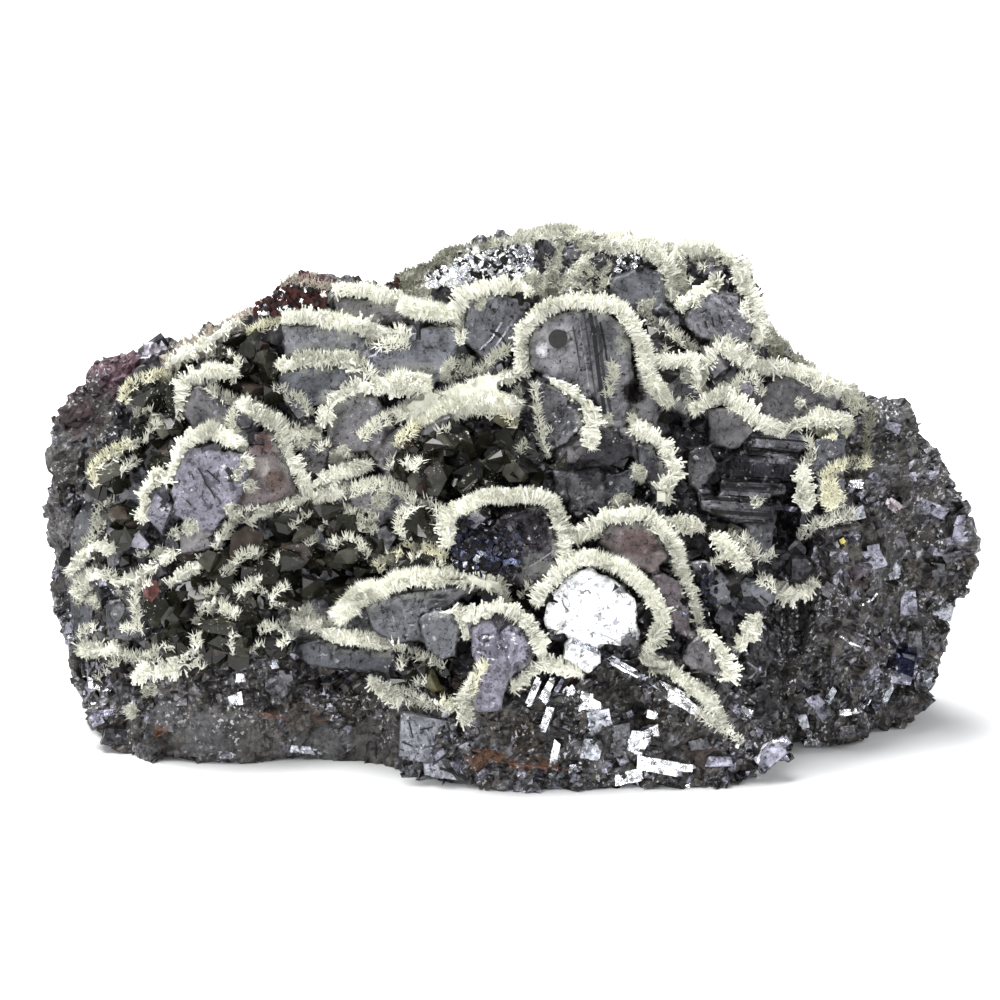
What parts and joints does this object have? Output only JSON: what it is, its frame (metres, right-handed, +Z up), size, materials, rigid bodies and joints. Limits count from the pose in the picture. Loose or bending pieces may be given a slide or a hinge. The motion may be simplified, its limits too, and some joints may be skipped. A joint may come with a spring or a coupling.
{
  "type": "galena specimen",
  "caption": "Hand specimen of broken lead-grey ore with a front slope of stepped blocky galena crystals, dark sphalerite between them and cream calcite fringes along their edges",
  "frame": {"origin": "under the middle of the specimen's bounding box, on the plane of its underside", "axes": "+X along the length, to the viewer's right; -Y towards the crystal-covered front; +Z up"},
  "size_m": [0.1636, 0.0888, 0.0889],
  "materials": {
    "broken_ore": "granular broken galena and sphalerite with mirror-bright cleavage glints, brown and rust stains",
    "galena": "lead-grey metallic, etched and satin, with brighter bevelled edges and pits",
    "sphalerite": "olive-black, resinous gloss on small flat facets",
    "calcite": "matte cream, made of fine needles in the dressed model"
  },
  "bodies": {
    "root": {"calcite_fringe_01": "calcite", "calcite_fringe_02": "calcite", "calcite_fringe_03": "calcite", "calcite_fringe_04": "calcite", "calcite_fringe_05": "calcite", "calcite_fringe_06": "calcite", "calcite_fringe_07": "calcite", "calcite_fringe_08": "calcite", "calcite_fringe_09": "calcite", "calcite_fringe_10": "calcite", "calcite_fringe_11": "calcite", "calcite_fringe_12": "calcite", "calcite_fringe_13": "calcite", "calcite_fringe_14": "calcite", "calcite_fringe_15": "calcite", "calcite_fringe_16": "calcite", "calcite_fringe_17": "calcite", "calcite_fringe_18": "calcite", "calcite_fringe_19": "calcite", "calcite_fringe_20": "calcite", "calcite_fringe_21": "calcite", "calcite_fringe_22": "calcite", "calcite_fringe_23": "calcite", "calcite_fringe_24": "calcite", "calcite_fringe_25": "calcite", "calcite_fringe_26": "calcite", "calcite_fringe_27": "calcite", "calcite_fringe_28": "calcite", "calcite_fringe_29": "calcite", "calcite_fringe_30": "calcite", "calcite_fringe_31": "calcite", "calcite_fringe_32": "calcite", "calcite_fringe_33": "calcite", "calcite_fringe_34": "calcite", "calcite_fringe_35": "calcite", "calcite_fringe_36": "calcite", "calcite_fringe_37": "calcite", "calcite_fringe_38": "calcite", "calcite_fringe_39": "calcite", "calcite_fringe_40": "calcite", "calcite_fringe_41": "calcite", "calcite_fringe_42": "calcite", "calcite_fringe_43": "calcite", "galena_druse": "galena", "ore_mass": "broken_ore", "sphalerite_cluster_01": "sphalerite", "sphalerite_cluster_02": "sphalerite", "sphalerite_cluster_03": "sphalerite", "sphalerite_cluster_04": "sphalerite", "sphalerite_cluster_05": "sphalerite", "sphalerite_cluster_06": "sphalerite", "sphalerite_cluster_07": "sphalerite", "sphalerite_cluster_08": "sphalerite", "sphalerite_cluster_09": "sphalerite", "sphalerite_cluster_10": "sphalerite", "sphalerite_cluster_11": "sphalerite", "sphalerite_cluster_12": "sphalerite", "sphalerite_cluster_13": "sphalerite", "sphalerite_cluster_14": "sphalerite", "sphalerite_cluster_15": "sphalerite"}
  },
  "joints": []
}
